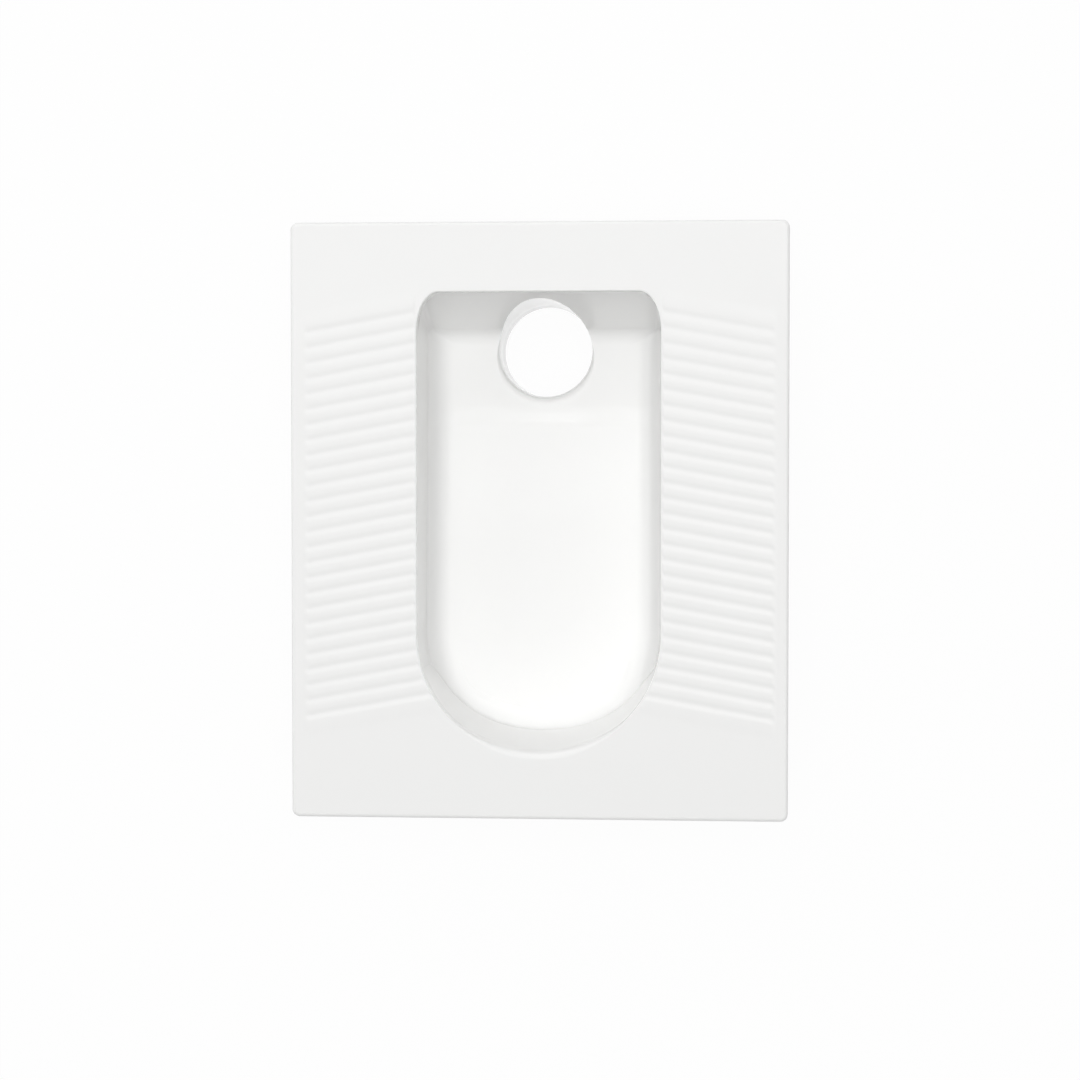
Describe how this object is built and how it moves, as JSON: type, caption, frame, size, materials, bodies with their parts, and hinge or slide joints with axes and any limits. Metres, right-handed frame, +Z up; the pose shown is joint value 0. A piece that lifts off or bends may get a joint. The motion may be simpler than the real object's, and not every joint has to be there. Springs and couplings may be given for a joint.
{
  "type": "squat toilet",
  "caption": "Floor-set squat toilet pan: ribbed foot rests either side of a round-ended bowl, a flush slot at the round end, a bored outlet spigot at the straight end.",
  "frame": {"origin": "on the floor under the middle of the deck, at the bottom centre of the whole pan", "axes": "+Z up, +Y along the pan towards the outlet end, +X across the pan"},
  "size_m": [0.5, 0.6, 0.2011],
  "materials": {
    "glazed_china": "gloss white glaze",
    "unglazed_china": "matt, thinly glazed underside",
    "rubber": "matt black"
  },
  "bodies": {
    "root": {"deck": "glazed_china", "rim": "glazed_china", "left_tread": "glazed_china", "right_tread": "glazed_china", "left_skirt": "glazed_china", "right_skirt": "glazed_china", "outlet_end_skirt": "glazed_china", "flush_end_skirt": "glazed_china", "deck_webs": "unglazed_china", "bowl": "glazed_china", "sump": "glazed_china", "flush_lip": "glazed_china", "inlet_horn": "unglazed_china", "inlet_seal": "rubber", "outlet_spigot": "unglazed_china", "outlet_seal": "rubber", "cross_leg": "unglazed_china"}
  },
  "joints": []
}
